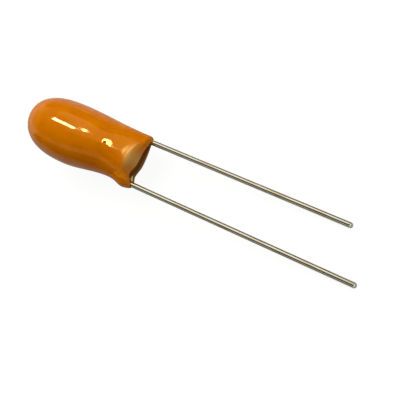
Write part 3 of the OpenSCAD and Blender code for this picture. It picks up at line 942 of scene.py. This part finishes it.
class CAPACITOR_OT_leads(bpy.types.Operator):
    """Makes the two tinned wire leads"""

    bl_idname = "capacitor.leads"
    bl_label = "Leads"

    def execute(self, context):
        bead, lead = sizes("capacitor_bead"), sizes("capacitor_leads")
        tin = tinned_copper()
        tree = wire_tree(lead)
        place = frame_of_leads()
        turn = place.to_3x3()
        for side, name, node in (
                (1, "positive_wire", "positive_lead"), (-1, "negative_wire", "negative_lead")):
            path = lead_path(lead, bead, side)
            curve = bpy.data.curves.new(name, "CURVE")
            curve.dimensions = "3D"
            spline = curve.splines.new("POLY")
            spline.points.add(len(path) - 1)
            for point, at in zip(spline.points, path):
                point.co = (*(place @ Vector(at)), 1)
            wire = evaluate(placed(name, curve), tree, {
                "Radius": lead.diameter / 2, "Rounding": lead.cut_burr, "Unevenness": lead.unevenness,
                "Slant": math.tan(math.radians(lead.cut_slant)), "Seed": 2.0 + side,
                "Free end": place @ Vector(path[0]), "Along": turn @ Vector((0, 0, -1)),
                "Up": turn @ Vector((0, 1, 0)), "Material": tin})
            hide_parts(node)
            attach(wire, "root")
        return {"FINISHED"}


class CAPACITOR_OT_inner(bpy.types.Operator):
    """Gives each sealed inner piece its material"""

    bl_idname = "capacitor.inner"
    bl_label = "Inner pieces"

    def execute(self, context):
        finishes = {
            "anode_pellet": inner_material("Sintered tantalum", "#4A4B50", 1.0, 0.7, 0.05),
            "riser_wire": inner_material("Drawn tantalum wire", "#8A8C93", 1.0, 0.35, 0.03),
            "manganese_dioxide_layer": inner_material("Fired manganese dioxide", "#26221F", 0.0, 0.6, 0.04),
            "graphite_layer": inner_material("Dried graphite paint", "#3A3A3C", 0.0, 0.45, 0.03),
            "silver_layer": inner_material("Dried silver paint", "#C9CBCC", 1.0, 0.4, 0.04),
            "insulating_washer": inner_material("Skived white PTFE", "#F2F2EE", 0.0, 0.5, 0.06),
            "solder_joint": inner_material("Reflowed tin solder", "#A9ADB2", 1.0, 0.3, 0.08),
        }
        for name, finish in finishes.items():
            mesh = frame["nodes"][name].data
            mesh.materials.clear()
            mesh.materials.append(finish)
        return {"FINISHED"}


class CAPACITOR_OT_stage(bpy.types.Operator):
    """Sets the floor, the lamps, the dark cards and the camera"""

    bl_idname = "capacitor.stage"
    bl_label = "Stage"

    def execute(self, context):
        stage = sizes("capacitor_stage")
        scene = context.scene
        half = stage.floor_size / 2
        floor = stage_card("floor", [(-half, -half, 0), (half, -half, 0), (half, half, 0), (-half, half, 0)],
                           matt_card("Matt white card", stage.floor, stage.glow))
        black = matt_card("Black flock", stage.flag, 0)
        for name, y in (("flag_behind", stage.flag_distance), ("flag_before", -stage.flag_distance)):
            long, high = stage.flag_length / 2, stage.flag_height
            flag = stage_card(name, [(-long, y, 0), (long, y, 0), (long, y, high), (-long, y, high)], black)
            flag.visible_camera = False

        for name, (at, towards, along, long, wide) in LAMPS.items():
            light = bpy.data.lights.new(name, "AREA")
            light.energy = getattr(stage, name + "_power")
            light.shape = "RECTANGLE"
            light.size, light.size_y = long, wide
            back = Vector(towards).normalized()
            first = Vector(along)
            first = (first - first.dot(back) * back).normalized()
            lamp = placed(name, light)
            lamp.matrix_world = Matrix.Translation(Vector(at) + back * stage.lamp_distance) @ Matrix(
                (first, back.cross(first), back)).transposed().to_4x4()
            # The soft key lights the part, and the three small lamps only glint on the coat
            lamp.visible_glossy = name != "key"
            lamp.visible_diffuse = name == "key"
            if name != "key":
                lamp.light_linking.receiver_collection = glinting_pieces()
        scene.world = studio_sky(stage)

        place = frame_of_leads()
        cam = bpy.data.cameras.new("camera")
        cam.lens = stage.lens
        cam.sensor_width = SENSOR_MM
        cam.clip_start = 0.001
        cam.clip_end = 10
        camera = placed("camera", cam)
        axes = Matrix((Vector(CAMERA_RIGHT), -Vector(CAMERA_DOWN), -Vector(CAMERA_AWAY)))
        turn = axes.transposed().to_4x4()
        camera.matrix_world = place @ Matrix.Translation(Vector(CAMERA_AT_MM) * MM) @ turn
        scene.camera = camera
        scene.view_settings.view_transform = "Standard"
        return {"FINISHED"}


class CAPACITOR_PT_panel(bpy.types.Panel):
    """Lists the pieces that the file makes."""

    bl_idname = "CAPACITOR_PT_panel"
    bl_label = "Tantalum capacitor"
    bl_space_type = "VIEW_3D"
    bl_region_type = "UI"
    bl_category = "Capacitor"

    def draw(self, context):
        for operator in (CAPACITOR_OT_bead, CAPACITOR_OT_leads, CAPACITOR_OT_inner, CAPACITOR_OT_stage):
            self.layout.operator(operator.bl_idname)
        for group in GROUPS:
            box = self.layout.box()
            for name in getattr(context.scene, group).bl_rna.properties.keys():
                if name not in ("rna_type", "name"):
                    box.prop(getattr(context.scene, group), name)


GROUPS = {
    "capacitor_leads": LeadSizes,
    "capacitor_bead": BeadSizes,
    "capacitor_finish": Finishes,
    "capacitor_stage": StageSizes,
}
CLASSES = (
    *GROUPS.values(), CAPACITOR_OT_bead, CAPACITOR_OT_leads, CAPACITOR_OT_inner, CAPACITOR_OT_stage,
    CAPACITOR_PT_panel,
)


def register():
    for cls in CLASSES:
        bpy.utils.register_class(cls)
    for name, group in GROUPS.items():
        setattr(bpy.types.Scene, name, bpy.props.PointerProperty(type=group))


def unregister():
    for name in GROUPS:
        delattr(bpy.types.Scene, name)
    for cls in reversed(CLASSES):
        bpy.utils.unregister_class(cls)


def main():
    register()
    bpy.ops.capacitor.stage()
    bpy.ops.capacitor.bead()
    bpy.ops.capacitor.leads()
    bpy.ops.capacitor.inner()


if __name__ == "__main__":
    main()
